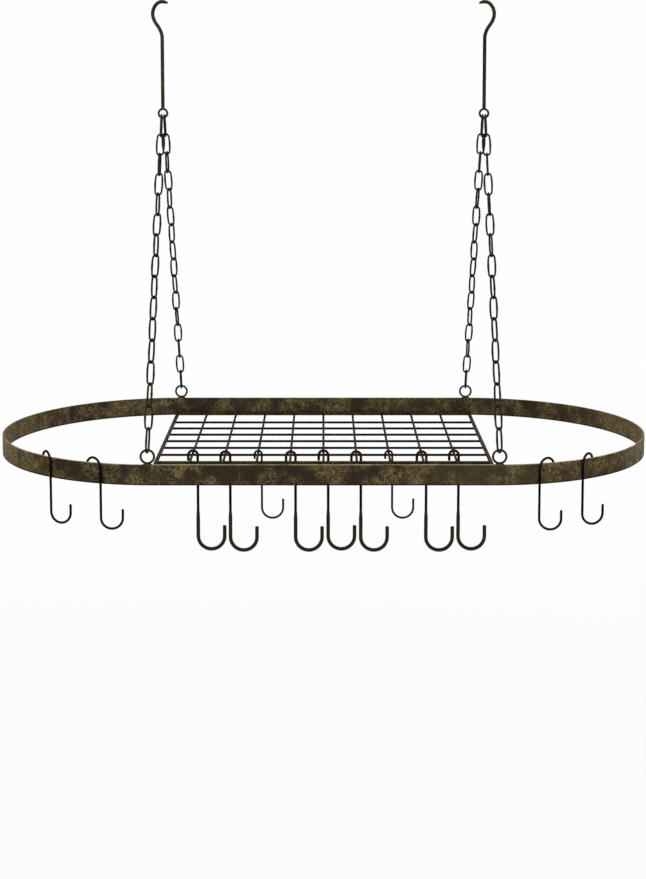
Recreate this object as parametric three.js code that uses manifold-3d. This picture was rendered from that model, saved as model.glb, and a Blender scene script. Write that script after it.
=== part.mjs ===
// Hanging pot rack: an oval steel band with a wire shelf across its middle,
// hung on four link chains from two ceiling hooks, with loose hooks for pans.
// Millimetres, +Z up, front is -Y. The origin lies midway between the two
// ceiling hooks, at the height where their bends bear on the ceiling loops.
import * as THREE from 'three';
import { mergeVertices } from 'three/addons/utils/BufferGeometryUtils.js';
import Module from 'manifold-3d';

const wasm = await Module();
wasm.setup();

// ---------------------------------------------------------------- clearances
const CLEARANCE = 0.3;            // between pieces that touch or are welded
const EYE_SEAT_CLEARANCE = 0.5;   // two links share one small round eye
const CHAIN_FUSE = 0.4;           // how far neighbouring links of a run press into each other

// ---------------------------------------------------------------------- band
const BAND_LENGTH = 838;
const BAND_DEPTH = 432;
const BAND_HEIGHT = 25;
const BAND_THICKNESS = 3;
const BAND_ARC_SEGMENTS = 26;     // facets round each half circle

// ------------------------------------------------------------- ceiling hooks
const HOOK_SPAN = 414.6;          // between the two shanks
const HOOK_ROD = 4.6;             // shank diameter
const HOOK_TIP = 1.8;             // diameter at the point
const HOOK_TAPER_LENGTH = 16;     // length of the forged point
const HOOK_BEND_WIDTH = 12;       // shank axis to the far side of the bend
const HOOK_BEND_HEIGHT = 44;      // bearing point down to the straight shank
const HOOK_TIP_REACH = 7.6;       // how far the point passes the shank axis
const HOOK_LENGTH = 140;          // bearing point to eye centre
const HOOK_EYE = 14;              // outer diameter of the eye
const HOOK_EYE_WIRE = 2.8;

// -------------------------------------------------------------------- chains
const LINK_LENGTH = 32.9;         // outside length
const LINK_WIDTH = 12.2;          // outside width
const LINK_WIRE = 2.6;
const LINK_COUNT = 16;            // links in each chain
const LINK_SPREAD = 1.8;          // each first link's offset from the shank axis
const FRONT_CHAIN_TWIST = 62;     // degrees of lazy twist over a whole front chain
const REAR_CHAIN_TWIST = 90;      // and over a rear one

// ----------------------------------------------------------------- eye rings
const RING = 18.7;                // outer diameter
const RING_WIRE = 2.8;
const RING_LIFT = 9.7;            // ring centre above the band's top edge
const WELD_WIDTH = 9;             // flared weld under each ring
const WELD_NECK = 4.5;

// ---------------------------------------------------------------- wire shelf
const SHELF_HALF_WIDTH = 210.5;   // centre line of each side bar
const SHELF_BAR = 5;
const SHELF_WIRE = 3.1;
const LONG_WIRES = 9;
const CROSS_WIRES = 9;
const STOP_BAR_INDEX = 2;         // this cross wire, from the front, is a thicker bar

// ----------------------------------------------------------------- pan hooks
const PAN_HOOK = {
  height: 134, wire: 3.5, archRadius: 6.1, tail: 7,
  bowlRadius: 17.1, lip: 14, bowlWire: 4.8, bowlLength: 50,
};
const SMALL_HOOK = {
  height: 91, wire: 2.8, archRadius: 4.6, tail: 6,
  bowlRadius: 13.7, lip: 11.5, bowlWire: 2.8, bowlLength: 30,
};
const UTENSIL_HOOK = {
  height: 88, wire: 3, archRadius: 11.8, tail: 4,
  bowlRadius: 13, lip: 10.5, bowlWire: 3, bowlLength: 30,
};
const SMALL_HOOK_WIRES = [-2, 2]; // long wires, counted from the middle, with a small hook
const PAN_HOOK_SETBACK = 50.3;    // row of pan hooks in front of the shelf's middle
const PAN_HOOK_STAGGER = 2.7;     // neighbours hang this far before and behind the row
const ARCH_TWIST = 40;            // degrees between a utensil hook's arch and its bowl
const LEFT_HOOK_ANGLES = [38.6, 19.6];    // round the band's end, from its shoulder
const RIGHT_HOOK_ANGLES = [17.3, 32.9];
const UTENSIL_ARCH_CROSSING = 19; // degrees at which the arch crosses the band

// ----------------------------------------------------------------- materials
const AGED_BROWN = 0x3a3226;
const DARK_WIRE = 0x1d1a15;
const CHAIN_BROWN = 0x37311f;
const HOOK_BLACK = 0x16140f;

const coated = (color) => new THREE.MeshStandardMaterial({ color, roughness: 0.55, metalness: 0.5 });
const bronze = () => coated(AGED_BROWN);
const darkWire = () => coated(DARK_WIRE);
const chainFinish = () => coated(CHAIN_BROWN);
const hookFinish = () => coated(HOOK_BLACK);

// ------------------------------------------------------------------- helpers
const rad = THREE.MathUtils.degToRad;
const rack = new THREE.Group();

function addPiece(name, geometry, material, parent = rack) {
  const mesh = new THREE.Mesh(geometry, material);
  mesh.name = name;
  parent.add(mesh);
  return mesh;
}

// A rod's centre line through chosen stations, with a section at each of them.
class RodPath extends THREE.Curve {
  constructor(stations) {
    super();
    this.stations = stations;
  }

  getPoint(t, target = new THREE.Vector3()) {
    const place = THREE.MathUtils.clamp(t, 0, 1) * (this.stations.length - 1);
    const index = Math.min(Math.floor(place + 1e-9), this.stations.length - 2);
    return target.lerpVectors(this.stations[index], this.stations[index + 1], place - index);
  }

  getPointAt(u, target) {
    return this.getPoint(u, target);
  }

  getTangentAt(u, target = new THREE.Vector3()) {
    const last = this.stations.length - 1;
    const index = Math.round(u * last);
    const before = this.stations[Math.max(index - 1, 0)];
    const after = this.stations[Math.min(index + 1, last)];
    const here = this.stations[index];
    const arriving = new THREE.Vector3().subVectors(here, before).normalize();
    const leaving = new THREE.Vector3().subVectors(after, here).normalize();
    return target.addVectors(arriving, leaving).normalize();
  }
}

function roundSection(radius, sides) {
  const corners = [];
  for (let i = 0; i < sides; i += 1) {
    const angle = (2 * Math.PI * i) / sides;
    corners.push(new THREE.Vector2(radius * Math.cos(angle), radius * Math.sin(angle)));
  }
  return new THREE.Shape(corners);
}

// A round rod along its stations; radiusAt gives the radius at each station.
function sweptRod(stations, sides, radiusAt) {
  const geometry = new THREE.ExtrudeGeometry(roundSection(1, sides), {
    steps: stations.length - 1,
    extrudePath: new RodPath(stations),
    bevelEnabled: false,
  });
  const position = geometry.attributes.position;
  const corner = new THREE.Vector3();
  for (let i = 0; i < position.count; i += 1) {
    corner.fromBufferAttribute(position, i);
    const missAt = (s) => Math.abs(corner.distanceTo(stations[s]) - 1);
    let nearest = 0;
    for (let s = 1; s < stations.length; s += 1) {
      if (missAt(s) < missAt(nearest)) nearest = s;
    }
    corner.sub(stations[nearest]).multiplyScalar(radiusAt(nearest)).add(stations[nearest]);
    position.setXYZ(i, corner.x, corner.y, corner.z);
  }
  return geometry;
}

// Stations round an arc in the plane of two unit vectors.
function arcStations(centre, radius, from, to, steps, right, up) {
  const stations = [];
  for (let i = 0; i <= steps; i += 1) {
    const angle = from + ((to - from) * i) / steps;
    stations.push(centre.clone()
      .addScaledVector(right, radius * Math.cos(angle))
      .addScaledVector(up, radius * Math.sin(angle)));
  }
  return stations;
}

function toSolid(geometry) {
  const bare = geometry.clone();
  bare.deleteAttribute('normal');
  bare.deleteAttribute('uv');
  const merged = mergeVertices(bare, 1e-4);
  return new wasm.Manifold(new wasm.Mesh({
    numProp: 3,
    vertProperties: new Float32Array(merged.attributes.position.array),
    triVerts: new Uint32Array(merged.index.array),
  }));
}

function toGeometry(solid) {
  const mesh = solid.getMesh();
  const geometry = new THREE.BufferGeometry();
  geometry.setAttribute('position', new THREE.BufferAttribute(new Float32Array(mesh.vertProperties), 3));
  geometry.setIndex(new THREE.BufferAttribute(new Uint32Array(mesh.triVerts), 1));
  geometry.computeVertexNormals();
  return geometry;
}

function fuse(geometries) {
  return toGeometry(geometries.map(toSolid).reduce((whole, next) => whole.add(next)));
}

function ringGeometry(outerDiameter, wire, sides, segments) {
  const geometry = new THREE.TorusGeometry((outerDiameter - wire) / 2, wire / 2, sides, segments);
  return geometry.rotateX(Math.PI / 2);
}

// ------------------------------------------------- heights from the chain out
const linkReach = LINK_LENGTH - LINK_WIRE;             // between a link's crown centre lines
const linkPitch = LINK_LENGTH - 2 * LINK_WIRE;
const eyeRadius = (HOOK_EYE - HOOK_EYE_WIRE) / 2;      // centre line of the hook's eye
const ringRadius = (RING - RING_WIRE) / 2;
const eyeZ = -HOOK_LENGTH;
const chainTopZ = eyeZ - Math.sqrt(eyeRadius ** 2 - LINK_SPREAD ** 2);
const topSeat = (HOOK_EYE_WIRE + LINK_WIRE) / 2 + EYE_SEAT_CLEARANCE;
const bottomSeat = (RING_WIRE + LINK_WIRE) / 2 + CLEARANCE;
const fusedStep = linkReach - (LINK_WIRE - CHAIN_FUSE);
const firstStep = linkReach - (LINK_WIRE + CLEARANCE);
const chainLength = firstStep + (LINK_COUNT - 2) * fusedStep + linkReach - topSeat - bottomSeat;
const bandMidY = (BAND_DEPTH - BAND_THICKNESS) / 2;
const chainLean = Math.asin(bandMidY / chainLength);
const ringTopZ = chainTopZ - chainLength * Math.cos(chainLean);
const ringZ = ringTopZ - ringRadius;
const bandTopZ = ringZ - RING_LIFT;
const bandBottomZ = bandTopZ - BAND_HEIGHT;

// ------------------------------------------------------------- ceiling hooks
// The bend is a tall open crook; its point looks towards the rack's middle.
function ceilingHook(side) {
  const rise = HOOK_ROD / 2;
  const crook = new THREE.CatmullRomCurve3([
    new THREE.Vector3(HOOK_TIP_REACH, 0, rise - 2.2),
    new THREE.Vector3(HOOK_TIP_REACH * 0.35, 0, rise - 0.2),
    new THREE.Vector3(-HOOK_BEND_WIDTH * 0.25, 0, rise - 0.5),
    new THREE.Vector3(-HOOK_BEND_WIDTH * 0.8, 0, rise - HOOK_BEND_HEIGHT * 0.17),
    new THREE.Vector3(-HOOK_BEND_WIDTH, 0, rise - HOOK_BEND_HEIGHT * 0.4),
    new THREE.Vector3(-HOOK_BEND_WIDTH * 0.8, 0, rise - HOOK_BEND_HEIGHT * 0.62),
    new THREE.Vector3(-HOOK_BEND_WIDTH * 0.25, 0, rise - HOOK_BEND_HEIGHT * 0.84),
    new THREE.Vector3(0, 0, -HOOK_BEND_HEIGHT),
  ]);
  const stations = crook.getSpacedPoints(22);
  stations.push(new THREE.Vector3(0, 0, (eyeZ + eyeRadius - HOOK_BEND_HEIGHT) / 2));
  stations.push(new THREE.Vector3(0, 0, eyeZ + eyeRadius));
  const stationStep = crook.getLength() / 22;
  const radiusAt = (s) => THREE.MathUtils.lerp(
    HOOK_TIP / 2,
    HOOK_ROD / 2,
    Math.min((s * stationStep) / HOOK_TAPER_LENGTH, 1),
  );
  const shank = sweptRod(stations, 7, radiusAt);
  const eye = ringGeometry(HOOK_EYE, HOOK_EYE_WIRE, 6, 16).translate(0, 0, eyeZ);
  const hook = fuse([shank, eye]);
  if (side > 0) hook.rotateZ(Math.PI);
  return hook;
}

// -------------------------------------------------------------------- chains
// A link is a ring pulled apart: the two crowns move away from each other.
function linkGeometry() {
  const crownRadius = (LINK_WIDTH - LINK_WIRE) / 2;
  const stretch = (linkReach - 2 * crownRadius) / 2;
  // The negative radius turns the wire's section so that a corner faces inwards.
  const link = new THREE.TorusGeometry(crownRadius, -LINK_WIRE / 2, 5, 10);
  const position = link.attributes.position;
  for (let i = 0; i < position.count; i += 1) {
    position.setX(i, position.getX(i) + Math.sign(position.getX(i)) * stretch);
  }
  return link;
}

// Places a link with its long axis down the chain and its flat side turned.
function placedLink(distance, turn, lean, frontward) {
  const down = new THREE.Vector3(0, frontward * Math.sin(lean), -Math.cos(lean));
  const across = new THREE.Vector3(0, Math.cos(lean), frontward * Math.sin(lean));
  across.applyAxisAngle(down, turn);
  const normal = new THREE.Vector3().crossVectors(down, across);
  const placing = new THREE.Matrix4().makeBasis(down, across, normal);
  placing.setPosition(down.clone().multiplyScalar(distance));
  return linkGeometry().applyMatrix4(placing);
}

function addChain(cornerName, x, frontward) {
  const twist = frontward < 0 ? FRONT_CHAIN_TWIST : REAR_CHAIN_TWIST;
  const turnStep = rad(90 + twist / (LINK_COUNT - 1));
  const placeOf = (i) => -topSeat + linkReach / 2 + (i > 0 ? firstStep + (i - 1) * fusedStep : 0);
  const first = placedLink(placeOf(0), 0, chainLean, frontward);
  addPiece(`top_link_${cornerName}`, first, chainFinish()).position.set(x, 0, chainTopZ);
  const run = [];
  for (let i = 1; i < LINK_COUNT; i += 1) {
    run.push(placedLink(placeOf(i), i * turnStep, chainLean, frontward));
  }
  addPiece(`chain_${cornerName}`, fuse(run), chainFinish()).position.set(x, 0, chainTopZ);
}

// ----------------------------------------------------------------- eye rings
function eyeRing() {
  const ring = ringGeometry(RING, RING_WIRE, 6, 16);
  const weldHeight = RING_LIFT - RING / 2 + RING_WIRE * 0.6 - CLEARANCE;
  const flare = new THREE.Shape();
  flare.moveTo(-WELD_WIDTH / 2, 0);
  flare.lineTo(WELD_WIDTH / 2, 0);
  flare.lineTo(WELD_NECK / 2, weldHeight);
  flare.lineTo(-WELD_NECK / 2, weldHeight);
  const weldDepth = BAND_THICKNESS - CLEARANCE;
  const weld = new THREE.ExtrudeGeometry(flare, { depth: weldDepth, bevelEnabled: false });
  weld.translate(0, 0, -weldDepth / 2);
  weld.rotateX(Math.PI / 2);
  weld.translate(0, 0, -RING_LIFT + CLEARANCE);
  return fuse([ring, weld]);
}

// ---------------------------------------------------------------------- band
function stadium(length, depth) {
  const radius = depth / 2;
  const half = length / 2 - radius;
  const outline = new THREE.Path();
  outline.moveTo(-half, -radius);
  outline.lineTo(half, -radius);
  outline.absarc(half, 0, radius, -Math.PI / 2, Math.PI / 2, false);
  outline.lineTo(-half, radius);
  outline.absarc(-half, 0, radius, Math.PI / 2, (3 * Math.PI) / 2, false);
  return outline;
}

function bandGeometry() {
  const outer = stadium(BAND_LENGTH, BAND_DEPTH).getPoints(BAND_ARC_SEGMENTS);
  const inside = stadium(BAND_LENGTH - 2 * BAND_THICKNESS, BAND_DEPTH - 2 * BAND_THICKNESS);
  const band = new THREE.Shape(outer);
  band.holes.push(new THREE.Path(inside.getPoints(BAND_ARC_SEGMENTS)));
  return new THREE.ExtrudeGeometry(band, { depth: BAND_HEIGHT, bevelEnabled: false });
}

// ---------------------------------------------------------------- wire shelf
const insideY = BAND_DEPTH / 2 - BAND_THICKNESS;

// Half the room inside the band at a distance from its middle, on the facets.
function roomInside(x) {
  const past = x - (BAND_LENGTH - BAND_DEPTH) / 2;
  if (past <= 0) return insideY;
  const facet = Math.PI / BAND_ARC_SEGMENTS;
  const start = facet * Math.floor(Math.asin(Math.min(past / insideY, 1)) / facet);
  const along = (past / insideY - Math.sin(start)) / (Math.sin(start + facet) - Math.sin(start));
  return insideY * THREE.MathUtils.lerp(Math.cos(start), Math.cos(start + facet), along);
}

const shelfBarZ = bandBottomZ + SHELF_BAR / 2;         // flush with the band's bottom edge
const underWireZ = bandBottomZ - CLEARANCE;            // top of the wires under the side bars
const longWireZ = underWireZ + CLEARANCE + SHELF_WIRE / 2;
const wirePitch = (2 * SHELF_HALF_WIDTH) / (LONG_WIRES + 1);
const endBarReach = SHELF_HALF_WIDTH - SHELF_BAR / 2 - CLEARANCE;
const endBarY = roomInside(endBarReach) - CLEARANCE - SHELF_BAR / 2;
const crossPitch = (2 * endBarY) / (CROSS_WIRES + 1);

function straightRod(diameter, length, sides) {
  return new THREE.CylinderGeometry(diameter / 2, diameter / 2, length, sides);
}

function addShelf() {
  const sideLength = 2 * (roomInside(SHELF_HALF_WIDTH + SHELF_BAR / 2) - CLEARANCE);
  const endLength = 2 * endBarReach;
  const crossLength = 2 * SHELF_HALF_WIDTH + SHELF_BAR;
  const longLength = 2 * (endBarY - SHELF_BAR / 2 - CLEARANCE);
  [['left', -1], ['right', 1]].forEach(([name, side]) => {
    addPiece(`shelf_side_bar_${name}`, straightRod(SHELF_BAR, sideLength, 8), bronze())
      .position.set(side * SHELF_HALF_WIDTH, 0, shelfBarZ);
  });
  [['front', -1], ['rear', 1]].forEach(([name, side]) => {
    addPiece(`shelf_end_bar_${name}`, straightRod(SHELF_BAR, endLength, 8).rotateZ(Math.PI / 2), darkWire())
      .position.set(0, side * endBarY, shelfBarZ);
  });
  for (let i = 1; i <= LONG_WIRES; i += 1) {
    addPiece(`shelf_long_wire_${i}`, straightRod(SHELF_WIRE, longLength, 6), bronze())
      .position.set(-SHELF_HALF_WIDTH + i * wirePitch, 0, longWireZ);
  }
  for (let i = 1; i <= CROSS_WIRES; i += 1) {
    const isStop = i === STOP_BAR_INDEX + 1;
    const diameter = isStop ? SHELF_BAR : SHELF_WIRE;
    const name = isStop ? 'shelf_stop_bar' : `shelf_cross_wire_${i}`;
    const rod = straightRod(diameter, crossLength, isStop ? 8 : 6).rotateZ(Math.PI / 2);
    addPiece(name, rod, isStop ? bronze() : darkWire())
      .position.set(0, -endBarY + i * crossPitch, underWireZ - diameter / 2);
  }
}

// ----------------------------------------------------------------- pan hooks
// The arch turns over its support at the origin; archSide is the way it opens
// from the shank and bowlSide the way the bowl opens, both as unit vectors.
function hookGeometry(size, archTopZ, archSide, bowlSide) {
  const up = new THREE.Vector3(0, 0, 1);
  const archCentre = archSide.clone().multiplyScalar(size.archRadius);
  archCentre.z = archTopZ - size.archRadius;
  const bowlZ = archTopZ + size.wire / 2 - size.height + size.bowlWire / 2 + size.bowlRadius;
  const bowlCentre = bowlSide.clone().multiplyScalar(size.bowlRadius);
  bowlCentre.z = bowlZ;
  const tailEnd = archSide.clone().multiplyScalar(2 * size.archRadius);
  tailEnd.z = archCentre.z - size.tail;
  const thickFromZ = archTopZ + size.wire / 2 - size.height + size.bowlLength;
  const stations = [tailEnd];
  stations.push(...arcStations(archCentre, size.archRadius, 0, Math.PI, 8, archSide, up));
  const slimUntil = stations.length;
  stations.push(new THREE.Vector3(0, 0, thickFromZ + size.bowlWire));
  stations.push(new THREE.Vector3(0, 0, thickFromZ - size.bowlWire));
  stations.push(...arcStations(bowlCentre, size.bowlRadius, Math.PI, 2 * Math.PI, 9, bowlSide, up));
  const lipEnd = bowlSide.clone().multiplyScalar(2 * size.bowlRadius);
  lipEnd.z = bowlZ + size.lip;
  stations.push(lipEnd);
  const radiusAt = (s) => (s <= slimUntil ? size.wire : size.bowlWire) / 2;
  return sweptRod(stations, 6, radiusAt);
}

function addPanHooks() {
  const opensLeft = new THREE.Vector3(-1, 0, 0);
  const opensRight = new THREE.Vector3(1, 0, 0);
  const middle = (LONG_WIRES + 1) / 2;
  for (let i = 1; i <= LONG_WIRES; i += 1) {
    const size = SMALL_HOOK_WIRES.includes(i - middle) ? SMALL_HOOK : PAN_HOOK;
    const archTopZ = SHELF_WIRE / 2 + CLEARANCE + size.wire / 2;
    const hook = hookGeometry(size, archTopZ, opensLeft, opensRight).translate(size.archRadius, 0, 0);
    const y = -PAN_HOOK_SETBACK + (i % 2 ? 1 : -1) * PAN_HOOK_STAGGER;
    addPiece(`pan_hook_${i}`, hook, hookFinish())
      .position.set(-SHELF_HALF_WIDTH + i * wirePitch, y, longWireZ);
  }
}

// ------------------------------------------------------------- utensil hooks
// How high an arch that crosses the band at a slant rests above its top edge.
function archRestHeight(size, crossing) {
  const reach = size.wire / 2 + CLEARANCE;
  const steps = 60;
  let rest = reach;
  for (let i = 0; i < steps; i += 1) {
    const along = (size.archRadius * i) / steps;
    const past = Math.max(along * Math.sin(crossing) - BAND_THICKNESS / 2, 0);
    if (past < reach) {
      const drop = size.archRadius - Math.sqrt(size.archRadius ** 2 - along ** 2);
      rest = Math.max(rest, drop + Math.sqrt(reach ** 2 - past ** 2));
    }
  }
  return rest;
}

// Each one hangs over the band's top edge, its shank in front of the band and
// its short leg behind, so its arch crosses the band at a slant.
function addUtensilHooks() {
  const endCentreX = BAND_LENGTH / 2 - BAND_DEPTH / 2;
  const midRadius = bandMidY;
  const archTopZ = archRestHeight(UTENSIL_HOOK, rad(UTENSIL_ARCH_CROSSING));
  let number = 1;
  [-1, 1].forEach((side) => {
    const angles = side < 0 ? LEFT_HOOK_ANGLES : RIGHT_HOOK_ANGLES;
    angles.forEach((degrees) => {
      const around = rad(degrees);
      const crossing = new THREE.Vector3(
        side * (endCentreX + midRadius * Math.sin(around)),
        -midRadius * Math.cos(around),
        bandTopZ,
      );
      const archTurn = around + rad(UTENSIL_ARCH_CROSSING);
      const bowlTurn = archTurn - rad(ARCH_TWIST);
      const archSide = new THREE.Vector3(side * Math.cos(archTurn), Math.sin(archTurn), 0);
      const bowlSide = new THREE.Vector3(Math.cos(bowlTurn), side * Math.sin(bowlTurn), 0);
      const hook = hookGeometry(UTENSIL_HOOK, archTopZ, archSide, bowlSide);
      const shank = crossing.clone().addScaledVector(archSide, -UTENSIL_HOOK.archRadius);
      addPiece(`utensil_hook_${number}`, hook, hookFinish()).position.copy(shank);
      number += 1;
    });
  });
}

// ------------------------------------------------------------------ assembly
[['left', -1], ['right', 1]].forEach(([name, side]) => {
  const shankX = (side * HOOK_SPAN) / 2;
  addPiece(`ceiling_hook_${name}`, ceilingHook(side), bronze()).position.set(shankX, 0, 0);
  [['front', -1], ['rear', 1]].forEach(([end, frontward]) => {
    const chainX = shankX - side * frontward * LINK_SPREAD;
    addChain(`${end}_${name}`, chainX, frontward);
    addPiece(`eye_ring_${end}_${name}`, eyeRing(), bronze())
      .position.set(chainX, frontward * bandMidY, ringZ);
  });
});
addPiece('band', bandGeometry(), bronze()).position.set(0, 0, bandBottomZ);
addShelf();
addPanHooks();
addUtensilHooks();

export default rack;
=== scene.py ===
"""Hanging pot rack: the finished look around its CAD frame.

Every solid of the frame keeps its place and size. The pieces made here are the
same steel parts with round wire, rolled edges, welds and their powder coat.
Sizes are in millimetres until they are placed, and the scene is in metres.
"""

import logging
import math
from contextlib import contextmanager
from dataclasses import dataclass
from enum import Enum
from functools import partial
from typing import Any, Callable, Iterator, Sequence

import bmesh
import bpy
from mathutils import Matrix, Vector


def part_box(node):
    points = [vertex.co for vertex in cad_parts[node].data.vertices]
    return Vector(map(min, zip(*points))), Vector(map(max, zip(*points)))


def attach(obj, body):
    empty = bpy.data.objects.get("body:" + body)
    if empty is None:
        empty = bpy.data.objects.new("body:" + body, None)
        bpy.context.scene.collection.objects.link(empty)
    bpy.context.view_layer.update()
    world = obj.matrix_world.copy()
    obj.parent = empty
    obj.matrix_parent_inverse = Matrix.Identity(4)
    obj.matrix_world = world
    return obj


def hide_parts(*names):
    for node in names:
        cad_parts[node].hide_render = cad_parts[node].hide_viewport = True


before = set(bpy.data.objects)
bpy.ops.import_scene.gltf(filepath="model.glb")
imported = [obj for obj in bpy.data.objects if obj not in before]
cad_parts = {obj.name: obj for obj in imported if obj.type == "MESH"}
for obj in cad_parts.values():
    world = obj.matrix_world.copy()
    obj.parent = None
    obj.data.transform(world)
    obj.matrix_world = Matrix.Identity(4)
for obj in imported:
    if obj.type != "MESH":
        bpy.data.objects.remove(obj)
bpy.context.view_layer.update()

LOG = logging.getLogger("pot_rack")
Piece = bpy.types.Object
Triple = tuple[float, float, float]
MM = 0.001
UP = Vector((0.0, 0.0, 1.0))
DOWN = -UP

# Sizes that more than one sub-assembly needs, in millimetres.
BAND_TOP = -552.73
BAND_HEIGHT = 25.0
BAND_THICKNESS = 3.0
BAND_MID_Y = 214.5
HOOK_SPAN = 414.6
HOOK_LENGTH = 140.0
EYE = 14.0
EYE_WIRE = 2.8
RING_WIRE = 2.8


class Place(Enum):
    """A named place on the rack, whose value is its sign along one axis."""

    @property
    def word(self) -> str:
        """The place's name as the frame's nodes spell it."""
        return self.name.lower()


class Side(Place):
    """Left or right end of the rack, along X."""

    LEFT = -1
    RIGHT = 1


class Row(Place):
    """Front or rear run of the band, along Y."""

    FRONT = -1
    REAR = 1


# ---------- finishes
SOFT = {"interpolation_type": "SMOOTHSTEP"}   # a range that eases in and out
# Painted shade: the dark line along the band's bottom edge.
BOTTOM_EDGE_SHADE = "17130e"
# Painted highlight: the pale line along the band's top edge.
EDGE_HIGHLIGHT = "b9ab88"


def linear(hex_colour: str) -> tuple[float, float, float, float]:
    """Turns an sRGB hex colour to Blender's linear colour.

    Args:
        hex_colour: Six hex digits, such as "3a3026".

    Returns:
        Red, green, blue and alpha, linear.
    """
    channels = [int(hex_colour[i : i + 2], 16) / 255 for i in (0, 2, 4)]
    bent = [c / 12.92 if c <= 0.04045 else ((c + 0.055) / 1.055) ** 2.4 for c in channels]
    return (bent[0], bent[1], bent[2], 1.0)


def add_node(
    tree: bpy.types.NodeTree, kind: str, feeds: dict | Sequence = (), out: int | str = 0, **settings: Any
) -> bpy.types.NodeSocket | None:
    """Adds a shader node with its settings, values and links.

    Args:
        tree: The node tree that it joins.
        kind: Blender's name for the type of node, after "ShaderNode".
        feeds: Values, or the outputs that feed them, by socket name or number, or in the sockets' order.
        out: Name or number of the output that is wanted.
        **settings: Properties of the node itself.

    Returns:
        That output, or None from a node that has none.
    """
    node = tree.nodes.new(f"ShaderNode{kind}")
    for key, value in settings.items():
        setattr(node, key, value)
    for socket, value in (feeds if isinstance(feeds, dict) else dict(enumerate(feeds))).items():
        if isinstance(value, bpy.types.NodeSocket):
            tree.links.new(value, node.inputs[socket])
        else:
            node.inputs[socket].default_value = value
    return node.outputs[out] if node.outputs else None


def empty_material(name: str) -> bpy.types.Material:
    """Makes a material whose node tree holds nothing yet.

    Args:
        name: The material's name.

    Returns:
        The material.
    """
    material = bpy.data.materials.new(name)
    material.use_nodes = True
    material.node_tree.nodes.clear()
    return material


@dataclass(frozen=True)
class Coat:
    """A finish on mild steel, with a node material that all its pieces share."""

    name: str

    def surface(self, node: Callable[..., Any]) -> dict[str, Any]:
        """Says what feeds the shader, by socket; each kind of coat has its own."""
        raise NotImplementedError

    def material(self) -> bpy.types.Material:
        """Builds the coat's node material, or finds it where it is built already.

        Returns:
            The material.
        """
        material = bpy.data.materials.get(self.name)
        if material is None:
            material = empty_material(self.name)
            node = partial(add_node, material.node_tree)
            node("OutputMaterial", (node("BsdfPrincipled", self.surface(node)),))
        return material


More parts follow.
